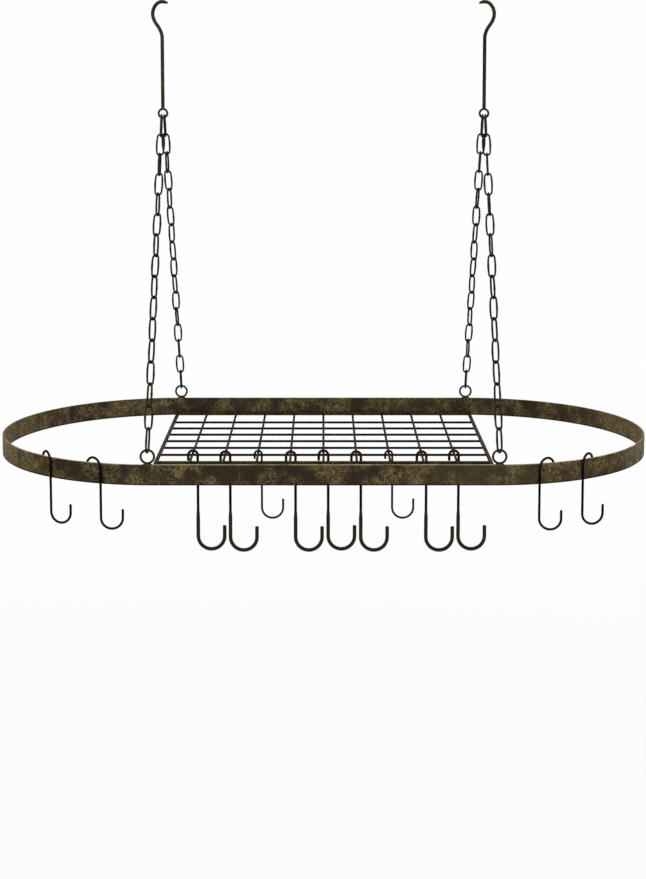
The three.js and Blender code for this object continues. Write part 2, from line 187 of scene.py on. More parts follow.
@dataclass(frozen=True)
class VeinCoat(Coat):
    """Antique vein powder coat: dark powder with a metallic vein.

    The powder flows apart as it bakes, which leaves a dark satin ground in
    plum and olive clouds under fine gold veins that curl like short worms,
    thick in some places and missing in others.
    """

    ground: str                          # the powder's own dark colour
    cloud: str                           # the olive tone that drifts over it
    vein: str                            # the metallic vein
    cloud_mm: float = 75.0               # size of the clouds
    patch_mm: float = 26.0               # size of the patches with and without veins
    vein_mm: float = 5.8                 # distance from one curl of a vein to the next
    # Real veins are about 0.4 mm wide. They are drawn near 1 mm, the least that shows.
    vein_width: float = 0.075
    vein_strength: float = 0.6
    swirl: float = 1.9                   # how far the veins are pushed about, in vein sizes
    fine_share: float = 0.6              # size of the finer veins against the others
    fine_strength: float = 0.55          # and how much fainter they are
    haze_share: float = 0.12             # how much vein colour lies between the veins
    film_share: float = 0.0              # how much of it lies over whole stretches
    bare_share: float = 0.385            # patch noise below this has no vein
    roughness: float = 0.64
    specular: float = 0.05
    bends_from_mm: float | None = None   # distance along X from which the veins crowd
    bends_over_mm: float = 75.0          # how much further out they crowd in full
    bend_crowding: float = 0.18          # what that adds to the patch noise
    bend_film: float = 1.6               # how much thicker the film is there
    top_mm: float | None = None          # height of an edge with a painted highlight along it, strongest in front
    highlight_y_mm: tuple[float, float] = (-190.0, -20.0)   # along Y: in full before, hardly behind
    highlight_stretch_mm: float = 16.0                 # length of the stretches of the painted highlight
    bottom_mm: float | None = None       # height of an edge along which shade is painted as a dark line

    def surface(self, node: Callable[..., Any]) -> dict[str, Any]:
        """Draws the clouds, the veins over them, the painted highlight on the top edge and the painted
        shade along the bottom edge.

        Args:
            node: Adds a node to the material's tree.

        Returns:
            The shader's sockets by name, with their values or feeding outputs.
        """
        place = node("TexCoord", out="Object")
        x, y, z = node("SeparateXYZ", (place,)).node.outputs
        # The veins curl because their own place is pushed about by a coarser noise.
        push = node("TexNoise", {"Vector": place, "Scale": 1000 / (self.vein_mm * 2.0)}, "Color")
        centred = node("VectorMath", (push, (0.5, 0.5, 0.5)), operation="SUBTRACT")
        reach = (self.vein_mm * self.swirl * MM,) * 3
        curled = node("VectorMath", (centred, reach, place), operation="MULTIPLY_ADD")
        # A vein is a closed thread where a noise passes its middle value.
        threads = []
        for size_mm in (self.vein_mm, self.vein_mm * self.fine_share):
            wave = node("TexNoise", {"Vector": curled, "Scale": 1000 / size_mm, "Detail": 1.0})
            above = node("Math", (wave, 0.5), operation="SUBTRACT")
            away = node("Math", (above,), operation="ABSOLUTE")
            core, rim = self.vein_width * 0.3, self.vein_width
            threads.append(node("MapRange", (away, core, rim, 1.0, 0.0), **SOFT))
        fine = node("Math", (threads[1], self.fine_strength), operation="MULTIPLY")
        lines = node("Math", (threads[0], fine), operation="MAXIMUM")
        # The patch noise says where veins are thick or missing.
        crowding = node("TexNoise", {"Vector": place, "Scale": 1000 / self.patch_mm, "Detail": 3.0})
        bend = 0.0
        if self.bends_from_mm is not None:
            out_along = node("Math", (x,), operation="ABSOLUTE")
            near, far = self.bends_from_mm * MM, (self.bends_from_mm + self.bends_over_mm) * MM
            bend = node("MapRange", (out_along, near, far), **SOFT)
            crowding = node("Math", (bend, self.bend_crowding, crowding), operation="MULTIPLY_ADD")
        patch = node("MapRange", (crowding, self.bare_share, self.bare_share + 0.27, 0.06, 1.0), **SOFT)
        shown = node("Math", (lines, patch), operation="MULTIPLY")
        veins = node("Math", (shown, self.vein_strength), operation="MULTIPLY")
        drift = node("TexNoise", {"Vector": place, "Scale": 1000 / self.cloud_mm, "Detail": 2.0})
        clouds = node("MapRange", (drift, 0.4, 0.6), **SOFT)
        dust = node("TexNoise", {"Vector": place, "Scale": 1000 / (self.patch_mm * 0.5), "Detail": 2.0})
        dusted = node("MapRange", (dust, 0.35, 0.75, 0.0, self.haze_share), **SOFT)
        haze = node("Math", (dusted, patch), operation="MULTIPLY")
        layers = [(clouds, self.cloud), (haze, self.vein)]
        if self.film_share > 0:
            film_mm = self.cloud_mm * 1.4
            sheet = node("TexNoise", {"Vector": place, "Scale": 1000 / film_mm, "Detail": 2.0})
            film = node("MapRange", (sheet, 0.45, 0.62, 0.0, self.film_share), **SOFT)
            thick = node("Math", (bend, self.film_share * self.bend_film), operation="MULTIPLY")
            layers.append((node("Math", (film, thick), operation="MAXIMUM"), self.vein))
        layers.append((veins, self.vein))
        # Painted shade: a dark line along the bottom edge.
        if self.bottom_mm is not None:
            low, high = (self.bottom_mm + 1.0) * MM, (self.bottom_mm + 2.8) * MM
            layers.append((node("MapRange", (z, low, high, 0.8, 0.0), **SOFT), BOTTOM_EDGE_SHADE))
        # Painted highlight: a pale line along the top edge, strongest in front and broken into stretches.
        if self.top_mm is not None:
            edge = node("MapRange", (z, (self.top_mm - 0.5) * MM, (self.top_mm - 0.1) * MM), **SOFT)
            before, behind = (limit * MM for limit in self.highlight_y_mm)
            front = node("MapRange", (y, before, behind, 1.0, 0.1), **SOFT)
            highlight_noise = node("TexNoise", {"Vector": place, "Scale": 1000 / self.highlight_stretch_mm, "Detail": 3.0})
            uneven = node("MapRange", (highlight_noise, 0.3, 0.6, 0.35, 1.0), **SOFT)
            highlit = node("Math", (uneven, front), operation="MULTIPLY")
            layers.append((node("Math", (edge, highlit), operation="MULTIPLY"), EDGE_HIGHLIGHT))
        colour = linear(self.ground)
        for share, tone in layers:
            colour = node("Mix", {0: share, 6: colour, 7: linear(tone)}, 2, data_type="RGBA")
        raised = node("Math", (veins, 0.7, haze), operation="MULTIPLY_ADD")
        return {
            "Base Color": colour,
            "Roughness": node("MapRange", (veins, 0.0, 1.0, self.roughness, self.roughness - 0.18), **SOFT),
            "Specular IOR Level": self.specular,
            "Normal": node("Bump", {"Height": raised, "Strength": 0.5, "Distance": 0.00012}),
        }


@dataclass(frozen=True)
class DippedCoat(Coat):
    """Dipped satin paint on round wire: thin, near black and a little uneven.

    The arch and the bowl are browner and carry the light specks, and the straight shank between them stays
    black.
    """

    shank: str                           # colour of the straight shank
    bends: str                           # colour of the arch and the bowl
    fleck: str                           # the paint's light specks
    shank_mm: tuple[float, float]        # heights between which the shank is fully black
    fade_mm: float = 22.0                # distance over which the black fades
    run_mm: float = 7.0                  # length of the paint's runs
    fleck_mm: float = 2.2                # real specks are about 0.5 mm, too fine to show
    roughness: float = 0.6
    specular: float = 0.02

    def surface(self, node: Callable[..., Any]) -> dict[str, Any]:
        """Browns the bends and speckles them.

        Args:
            node: Adds a node to the material's tree.

        Returns:
            The shader's sockets by name, with their values or feeding outputs.
        """
        place = node("TexCoord", out="Object")
        height = node("SeparateXYZ", (place,), "Z")
        low, high = self.shank_mm
        half = (high - low) / 2
        above = node("Math", (height, (low + high) / 2 * MM), operation="SUBTRACT")
        away = node("Math", (above,), operation="ABSOLUTE")
        bend_share = node("MapRange", (away, half * MM, (half + self.fade_mm) * MM), **SOFT)
        runs = node("TexNoise", {"Vector": place, "Scale": 1000 / self.run_mm, "Detail": 3.0})
        flecks = node("TexNoise", {"Vector": place, "Scale": 1000 / self.fleck_mm, "Detail": 2.0})
        shown = node("MapRange", (flecks, 0.52, 0.72, 0.0, 0.35))
        specks = node("Math", (shown, bend_share), operation="MULTIPLY")
        colour = linear(self.shank)
        for share, tone in ((bend_share, self.bends), (specks, self.fleck)):
            colour = node("Mix", {0: share, 6: colour, 7: linear(tone)}, 2, data_type="RGBA")
        return {
            "Base Color": colour,
            "Roughness": node("MapRange", (runs, 0.0, 1.0, self.roughness - 0.12, self.roughness + 0.12)),
            "Specular IOR Level": self.specular,
            "Normal": node("Bump", {"Height": runs, "Strength": 0.35, "Distance": 0.0002}),
        }


# Vein coat on the flat band: the one piece broad enough to show clouds and curls.
BAND_COAT = VeinCoat(
    "aged_bronze_band_coat", "2a211c", "2d281c", "87774c",
    film_share=0.08, bends_from_mm=335.0, top_mm=BAND_TOP, bottom_mm=BAND_TOP - BAND_HEIGHT,
)
# The same coat on round wire, where only soft specks of the vein fit.
RING_COAT = VeinCoat(
    "aged_bronze_ring_coat", "1b1710", "242015", "5d5134", patch_mm=12.0, vein_strength=0.3
)
CHAIN_COAT = VeinCoat(
    "aged_bronze_chain_coat", "1c1912", "262215", "5f5435", patch_mm=14.0, vein_strength=0.3
)
HANGER_COAT = VeinCoat(
    "aged_bronze_hanger_coat", "1f1c14", "2b281c", "645b3f", patch_mm=14.0, vein_strength=0.3
)
SHELF_COAT = VeinCoat(
    "aged_bronze_shelf_coat", "271d11", "302614", "65552f", patch_mm=14.0, vein_strength=0.35, specular=0.04
)
# The long wires took a thinner coat than the bars, darker and with less vein.
WIRE_COAT = VeinCoat(
    "aged_bronze_wire_coat", "1a1409", "221b0b", "5a4c26", patch_mm=14.0, vein_strength=0.3, specular=0.02
)
# The cross wires lie under the others, with hardly any vein in their coat.
UNDER_COAT = VeinCoat(
    "dark_wire_coat", "0a0906", "100e09", "2d281a", vein_strength=0.2, haze_share=0.1, specular=0.03
)
# Dipped paint on the loose hooks.
PAN_HOOK_PAINT = DippedCoat("dipped_black_pan_hook", "080706", "2c281b", "4b442c", (-640.0, -588.0))
UTENSIL_HOOK_PAINT = DippedCoat("dipped_black_utensil_hook", "060504", "1f1c12", "37311f", (-612.0, -566.0))


# ---------- bench tools
def deselect_all() -> None:
    """Leaves nothing selected, so that an operator meets only its own piece."""
    bpy.ops.object.select_all(action="DESELECT")


def take(piece: Piece) -> None:
    """Selects one piece alone and makes it active.

    Args:
        piece: The piece.
    """
    deselect_all()
    piece.select_set(True)
    bpy.context.view_layer.objects.active = piece


def start_from(primitive: Callable[..., Any], **settings: Any) -> Piece:
    """Starts a piece from one of Blender's primitives, with its place in its mesh.

    Args:
        primitive: The operator that adds it.
        **settings: The operator's settings.

    Returns:
        The new mesh object.
    """
    deselect_all()
    primitive(**settings)
    bpy.ops.object.transform_apply(location=True, rotation=True, scale=True)
    return bpy.context.object


def discard(pattern: Piece) -> None:
    """Deletes a pattern once everything is copied from it."""
    take(pattern)
    bpy.ops.object.delete()


def box_mm(node: str) -> tuple[Vector, Vector]:
    """The lowest and highest corner of one of the frame's nodes, in millimetres."""
    low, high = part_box(node)
    return Vector(low) / MM, Vector(high) / MM


@contextmanager
def edit_mode(piece: Piece) -> Iterator[None]:
    """Opens a piece in edit mode, and closes it again.

    Args:
        piece: The mesh object to open.

    Yields:
        Nothing; the operators inside act on the piece.
    """
    take(piece)
    bpy.ops.object.mode_set(mode="EDIT")
    try:
        yield
    finally:
        bpy.ops.object.mode_set(mode="OBJECT")


def pick(piece: Piece, test: Callable[[Vector], bool]) -> None:
    """Selects the corners, in edit mode, whose place passes a test.

    Args:
        piece: The mesh object, open in edit mode.
        test: Says of a corner's place whether it is picked.
    """
    bpy.ops.mesh.select_mode(type="VERT")
    bpy.ops.mesh.select_all(action="DESELECT")
    mesh = bmesh.from_edit_mesh(piece.data)
    for corner in mesh.verts:
        corner.select = test(corner.co)
    mesh.select_flush(True)
    bmesh.update_edit_mesh(piece.data)


def bevel_corners(piece: Piece, width_mm: float, segments: int = 2, sharper_than: float = 60.0) -> None:
    """Rounds a piece's sharp edges with an applied bevel.

    Args:
        piece: The mesh object.
        width_mm: Width of the rounding.
        segments: Faces across it.
        sharper_than: Angle in degrees from which an edge counts as sharp.
    """
    take(piece)
    bevel = piece.modifiers.new("rounded", "BEVEL")
    bevel.width = width_mm * MM
    bevel.segments = segments
    bevel.limit_method = "ANGLE"
    bevel.angle_limit = math.radians(sharper_than)
    bpy.ops.object.modifier_apply(modifier=bevel.name)


def join(pieces: Sequence[Piece]) -> Piece:
    """Joins pieces into the first of them.

    Args:
        pieces: Mesh objects, at least one.

    Returns:
        The first, now holding all.
    """
    deselect_all()
    for piece in pieces:
        piece.select_set(True)
    bpy.context.view_layer.objects.active = pieces[0]
    if len(pieces) > 1:
        bpy.ops.object.join()
    return pieces[0]


def copy_to(piece: Piece, placing: Matrix) -> Piece:
    """Copies a piece, mesh and all, and sets the copy down.

    Args:
        piece: The piece to copy, its own place at the origin.
        placing: Where the copy's origin and axes go.

    Returns:
        The copy, with its place in its mesh.
    """
    twin = piece.copy()
    twin.data = piece.data.copy()
    bpy.context.collection.objects.link(twin)
    twin.data.transform(placing)
    return twin


def finish_piece(
    piece: Piece,
    name: str,
    material: bpy.types.Material,
    body: str,
    nodes: Sequence[str],
    smooth_below: float = 40.0,
) -> Piece:
    """Gives a piece its name, finish and place among the frame's bodies.

    Args:
        piece: The mesh object.
        name: Its name in the scene.
        material: The finish over all of it.
        body: The body that it rides on.
        nodes: The frame's nodes that it stands for.
        smooth_below: Edges flatter than this many degrees are shaded smooth.

    Returns:
        The same piece.
    """
    with edit_mode(piece):
        bpy.ops.mesh.select_all(action="SELECT")
        bpy.ops.mesh.remove_doubles(threshold=1e-6)
        bpy.ops.mesh.normals_make_consistent(inside=False)
    bpy.ops.object.transform_apply(location=True, rotation=True, scale=True)
    bpy.ops.object.shade_smooth_by_angle(angle=math.radians(smooth_below))
    piece.name = name
    piece.data.name = name
    piece.data.materials.clear()
    piece.data.materials.append(material)
    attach(piece, body)
    if nodes:
        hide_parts(*nodes)
    LOG.info("%s: %d faces, on %s", name, len(piece.data.polygons), body)
    return piece


class WireBender:
    """A round rod bent up from a disc, drawn out straight and spun round bends."""

    def __init__(self, at: Vector, along: Vector, radius_mm: float, sides: int = 16) -> None:
        """Cuts the rod's first end.

        Args:
            at: Centre of the end, in millimetres.
            along: The way the rod leaves it, as a unit vector.
            radius_mm: The rod's radius there.
            sides: Faces round the rod.
        """
        self.piece = start_from(
            bpy.ops.mesh.primitive_circle_add,
            vertices=sides,
            radius=radius_mm * MM,
            fill_type="NGON",
            location=at * MM,
            rotation=along.to_track_quat("Z", "Y").to_euler(),
        )
        self.at = at.copy()
        self.along = along.normalized()
        self.radius_mm = radius_mm
        bpy.ops.object.mode_set(mode="EDIT")
        bpy.ops.mesh.select_all(action="SELECT")

    def _swell(self, radius_mm: float) -> None:
        """Sets the open end's radius.

        Args:
            radius_mm: The radius.
        """
        if abs(radius_mm - self.radius_mm) > 1e-6:
            factor = radius_mm / self.radius_mm
            bpy.ops.transform.resize(value=(factor,) * 3, center_override=self.at * MM)
            self.radius_mm = radius_mm

    def draw(self, length_mm: float, radius_mm: float | None = None) -> None:
        """Draws the end out straight.

        Args:
            length_mm: How far.
            radius_mm: The rod's radius at the new end, if it changes.
        """
        step = self.along * length_mm
        bpy.ops.mesh.extrude_region_move(TRANSFORM_OT_translate={"value": step * MM})
        self.at += step
        self._swell(radius_mm or self.radius_mm)

    def bend(
        self, toward: Vector, radius_mm: float, degrees: float, steps: int, end_mm: float | None = None
    ) -> None:
        """Bends the end round a former.

        Args:
            toward: Unit vector from the rod to the former's centre.
            radius_mm: The former's radius to the rod's centre line.
            degrees: How far round.
            steps: Pieces in the bend.
            end_mm: The rod's radius after the bend, if it changes.
        """
        axis = self.along.cross(toward).normalized()
        centre = self.at + toward * radius_mm
        turn = Matrix.Rotation(math.radians(degrees / steps), 3, axis)
        first_mm = self.radius_mm
        for step in range(1, steps + 1):
            bpy.ops.mesh.spin(steps=1, angle=-math.radians(degrees / steps), center=centre * MM, axis=axis)
            self.at = centre + turn @ (self.at - centre)
            self.along = (turn @ self.along).normalized()
            if end_mm is not None:
                self._swell(first_mm + (end_mm - first_mm) * step / steps)

    def off(self, rounding_mm: float = 0.35) -> Piece:
        """Takes the rod off the bender and breaks its two end edges.

        Args:
            rounding_mm: Width of the rounding at each end.

        Returns:
            The rod's mesh object.
        """
        bpy.ops.mesh.select_all(action="SELECT")
        bpy.ops.mesh.normals_make_consistent(inside=False)
        bpy.ops.object.mode_set(mode="OBJECT")
        bevel_corners(self.piece, rounding_mm)
        return self.piece


def ring(outer_mm: float, wire_mm: float, centre: Vector, around: int = 40, across: int = 14) -> Piece:
    """Makes a wire ring whose flat side faces the front.

    Args:
        outer_mm: Outside diameter.
        wire_mm: Wire diameter.
        centre: Its centre, in millimetres.
        around: Pieces round the ring.
        across: Faces round the wire.

    Returns:
        The ring, with its place in its mesh.
    """
    return start_from(
        bpy.ops.mesh.primitive_torus_add,
        major_segments=around,
        minor_segments=across,
        major_radius=(outer_mm - wire_mm) / 2 * MM,
        minor_radius=wire_mm / 2 * MM,
        location=centre * MM,
        rotation=(math.pi / 2, 0, 0),
    )


def weld_bead(centre: Vector, size: Sequence[float]) -> Piece:
    """Makes a small weld: a ball pressed to a size.

    Args:
        centre: Its centre, in millimetres.
        size: Its length along X, Y and Z, in millimetres.

    Returns:
        The bead, with its place in its mesh.
    """
    ball = bpy.ops.mesh.primitive_uv_sphere_add
    return start_from(ball, segments=14, ring_count=8, radius=0.5 * MM, location=centre * MM, scale=size)


# ---------- band
@dataclass
class Band:
    """The oval flat bar, bent from one strip and welded into a ring."""

    length: float = 838.0
    depth: float = 432.0
    height: float = BAND_HEIGHT
    thickness: float = BAND_THICKNESS
    top: float = BAND_TOP
    edge_rounding: float = 0.6
    corners: int = 186            # round the hoop; 4n + 2, so that none lies where it is pulled apart

    def build(self) -> Piece:
        """Models the band: a hoop pulled apart at the middle, walled and rounded.

        Returns:
            The band's object.
        """
        straight = self.length - self.depth
        hoop = start_from(
            bpy.ops.mesh.primitive_cylinder_add,
            vertices=self.corners,
            radius=self.depth / 2 * MM,
            depth=self.height * MM,
            end_fill_type="NOTHING",
            location=(0, 0, (self.top - self.height / 2) * MM),
        )
        with edit_mode(hoop):
            bpy.ops.mesh.select_all(action="SELECT")
            # The hoop's first corner lies on Y, so a quarter turn puts it on X.
            bpy.ops.transform.rotate(value=math.pi / 2, orient_axis="Z", center_override=(0, 0, 0))
            for sign in (-1, 1):
                pick(hoop, lambda co, s=sign: co.x * s > 0)
                bpy.ops.transform.translate(value=(sign * straight / 2 * MM, 0, 0))
            bpy.ops.mesh.select_all(action="SELECT")
            bpy.ops.mesh.normals_make_consistent(inside=False)
        wall = hoop.modifiers.new("wall", "SOLIDIFY")
        wall.thickness = self.thickness * MM
        wall.offset = -1.0
        wall.use_even_offset = True
        bpy.ops.object.modifier_apply(modifier=wall.name)
        bevel_corners(hoop, self.edge_rounding, 3)
        return finish_piece(hoop, "band_strip", BAND_COAT.material(), "rack", ["band"])


# ---------- eye rings
@dataclass
class EyeRings:
    """Four wire rings welded upright on the band's top edge."""

    outer: float = 18.7
    wire: float = RING_WIRE
    lift: float = 9.7
    foot_width: float = 13.0
    foot_neck: float = 6.0
    foot_depth: float = 2.6
    throat: Triple = (5.4, 3.2, 3.0)

    def build(self, side: Side, row: Row, x: float) -> Piece:
        """Models one ring with its flared weld foot.

        Args:
            side: The end of the rack.
            row: The run of the band that it stands on.
            x: The ring's place along the band.

        Returns:
            The ring's object.
        """
        centre = Vector((x, row.value * BAND_MID_Y, BAND_TOP + self.lift))
        wire_ring = ring(self.outer, self.wire, centre)
        foot_height = self.lift - self.outer / 2 + self.wire * 0.6
        foot = start_from(
            bpy.ops.mesh.primitive_cone_add,
            vertices=24,
            radius1=self.foot_width / 2 * MM,
            radius2=self.foot_neck / 2 * MM,
            depth=foot_height * MM,
            location=(centre.x * MM, centre.y * MM, (BAND_TOP + foot_height / 2) * MM),
            scale=(1.0, self.foot_depth / self.foot_width, 1.0),
        )
        bevel_corners(foot, 0.5, 3, 40.0)
        throat = weld_bead(centre - UP * (self.outer / 2 - self.wire * 0.45), self.throat)
        name, coat = f"{row.word}_{side.word}", RING_COAT.material()
        made = join([wire_ring, foot, throat])
        nodes = [f"eye_ring_{name}"]
        return finish_piece(made, f"eye_ring_wire_{name}", coat, "rack", nodes)


# ---------- ceiling hooks
@dataclass
class CeilingHooks:
    """Two long hooks of round rod, forged to a point, with an eye at the bottom."""

    rod: float = 4.6
    tip: float = 1.8
    taper: float = 5.5
    bluntness: float = 0.6        # power of the point's outline; 1 is a cone
    straight_to: float = -44.0
    collar: Triple = (5.6, 4.6, 4.2)
    bend_step: float = 1.4
    # Lengths and turns of the bends from the shank up, as set on the bender.
    crook: tuple[tuple[float, float], ...] = (
        (7.6, 19.0), (11.0, 19.0), (11.4, -24.0), (8.0, -28.0),
        (9.8, -30.0), (7.4, -43.0), (5.5, -25.0), (2.7, 0.0),
    )

    def build(self, side: Side) -> Piece:
        """Models one ceiling hook; its point looks to the rack's middle.

        Args:
            side: The end of the rack.

        Returns:
            The hook's object.
        """
        x = side.value * HOOK_SPAN / 2
        eye_z = -HOOK_LENGTH
        eye_radius = (EYE - EYE_WIRE) / 2
        wire = WireBender(Vector((x, 0, eye_z + eye_radius)), UP, self.rod / 2, 18)
        wire.draw((self.straight_to - wire.at.z) / 2)
        wire.draw(self.straight_to - wire.at.z)
        left_over = sum(length for length, _ in self.crook)
        for length, turn in self.crook:
            steps = max(round(length / self.bend_step), 1)
            for _ in range(steps):
                left_over -= length / steps
                # The point is forged short and blunt: full almost to its end, then rounded off.
                fullness = min(left_over / self.taper, 1.0) ** self.bluntness
                radius = (self.tip + (self.rod - self.tip) * fullness) / 2
                if turn == 0:
                    wire.draw(length / steps, radius)
                    continue
                # The former stands outside the shank for a turn above 0, and inside for one below.
                outward = wire.along.cross(Vector((0, 1, 0))) * side.value
                toward = -outward if turn > 0 else outward
                former = length / math.radians(abs(turn))
                wire.bend(toward, former, abs(turn) / steps, 1, radius)
        shank = wire.off(0.4)
        eye = ring(EYE, EYE_WIRE, Vector((x, 0, eye_z)))
        collar = weld_bead(Vector((x, 0, eye_z + eye_radius + 0.6)), self.collar)
        name, coat = f"ceiling_hook_rod_{side.word}", HANGER_COAT.material()
        nodes = [f"ceiling_hook_{side.word}"]
        return finish_piece(join([shank, eye, collar]), name, coat, "ceiling_hooks", nodes)


# ---------- chains
@dataclass
class Chains:
    """Four runs of oval links, each link butt-welded on one side."""

    link_length: float = 32.9
    link_width: float = 12.2
    wire: float = 2.6
    link_corners: int = 26        # round a link; 4n + 2, so that none lies where it is pulled apart
    bow: float = 0.12             # share by which a link is narrower at its ends than at its middle
    weld_reach: float = 1.6       # half the length of a link's butt weld
    weld_swell: float = 1.14      # its thickness in wires
    count: int = 16
    spread: float = 1.8
    front_twist: float = 62.0
    rear_twist: float = 90.0
    clearance: float = 0.3
    eye_seat: float = 0.5
    press: float = 0.4

    def reach(self) -> float:
        """Distance between a link's two crown centre lines."""
        return self.link_length - self.wire

    def top_z(self) -> float:
        """Height of the wire that a first link hangs on."""
        eye_radius = (EYE - EYE_WIRE) / 2
        return -HOOK_LENGTH - math.sqrt(eye_radius**2 - self.spread**2)

    def top_seat(self) -> float:
        """How far a first link's crown lies above the eye's wire."""
        return (EYE_WIRE + self.wire) / 2 + self.eye_seat

    def middle_of(self, index: int) -> float:
        """Distance down the chain from its top to the middle of a link.

        Args:
            index: The link's number from the top, from 0.

        Returns:
            The distance, in millimetres.
        """
        step = self.reach() - (self.wire - self.press)
        first = self.reach() - (self.wire + self.clearance)
        lower = first + (index - 1) * step if index else 0.0
        return self.reach() / 2 - self.top_seat() + lower

    def chain_length(self) -> float:
        """Length from the eye's wire to the eye ring's wire."""
        bottom_seat = (RING_WIRE + self.wire) / 2 + self.clearance
        return self.middle_of(self.count - 1) + self.reach() / 2 - bottom_seat

    def link(self) -> Piece:
        """Models one link: a wire ring pulled apart, with bowed sides and its weld swollen.

        Returns:
            The link, long along X and flat in XY.
        """
        crown = (self.link_width - self.wire) / 2
        stretch = (self.reach() - 2 * crown) / 2
        made = start_from(
            bpy.ops.mesh.primitive_torus_add,
            major_segments=self.link_corners,
            minor_segments=12,
            major_radius=crown * MM,
            minor_radius=self.wire / 2 * MM,
        )
        with edit_mode(made):
            for sign in (-1, 1):
                pick(made, lambda co, s=sign: co.x * s > 0)
                bpy.ops.transform.translate(value=(sign * stretch * MM, 0, 0))
            # Each straight side gets five more rings of corners, for the bow and the weld.
            half = (stretch + 1.0) * MM
            pick(made, lambda co: abs(co.y) > (crown - self.wire) * MM and abs(co.x) < half)
            bpy.ops.mesh.subdivide(number_cuts=5, smoothness=0.0)
            pick(made, lambda co: co.y > 0 and abs(co.x) < self.weld_reach * MM)
            swell = (1.0, self.weld_swell, self.weld_swell)
            bpy.ops.transform.resize(value=swell, center_override=(0, crown * MM, 0))
            # The sides are drawn in with the square of the distance from the middle.
            shoulder = stretch + crown * math.sin(math.pi / self.link_corners)
            for share in (1 / 3, 2 / 3, 1.0):
                near = (share * shoulder - 0.6) * MM
                far = (share * shoulder + 0.6) * MM if share < 1 else self.link_length * MM
                pick(made, lambda co, a=near, b=far: a < abs(co.x) < b)
                narrowed = (1.0, 1 - self.bow * share**2, 1.0)
                bpy.ops.transform.resize(value=narrowed, center_override=(0, 0, 0))
        return made

    def placing(self, x: float, row: Row, index: int) -> Matrix:
        """Where a link lies in its chain.

        Args:
            x: The chain's place along the band.
            row: The run of the band that it goes down to.
            index: The link's number from the top, from 0.

        Returns:
            The placing, in metres.
        """
        lean = math.asin(BAND_MID_Y / self.chain_length())
        down = Vector((0.0, row.value * math.sin(lean), -math.cos(lean)))
        across = Vector((0.0, math.cos(lean), row.value * math.sin(lean)))
        twist = self.front_twist if row is Row.FRONT else self.rear_twist
        turn = index * math.radians(90.0 + twist / (self.count - 1))
        across.rotate(Matrix.Rotation(turn, 3, down))
        face = down.cross(across)
        turned = Matrix((down, across, face)).transposed().to_4x4()
        middle = Vector((x, 0.0, self.top_z())) + down * self.middle_of(index)
        return Matrix.Translation(middle * MM) @ turned

    def chain_x(self, side: Side, row: Row) -> float:
        """A chain's place along the band."""
        return side.value * (HOOK_SPAN / 2 - row.value * self.spread)

    def build(self, side: Side, row: Row, pattern: Piece) -> None:
        """Hangs one chain: its first link alone, and the run below it.

        Args:
            side: The end of the rack.
            row: The run of the band that it goes down to.
            pattern: The link that every other is copied from.
        """
        x = self.chain_x(side, row)
        links = [copy_to(pattern, self.placing(x, row, index)) for index in range(self.count)]
        name = f"{row.word}_{side.word}"
        coat, slot = CHAIN_COAT.material(), "chain_bronze"
        top_body = f"top_links_{side.word}"
        finish_piece(links[0], f"first_link_{name}", coat, top_body, [f"top_link_{name}"])
        finish_piece(join(links[1:]), f"link_run_{name}", coat, f"chain_{name}", [f"chain_{name}"])


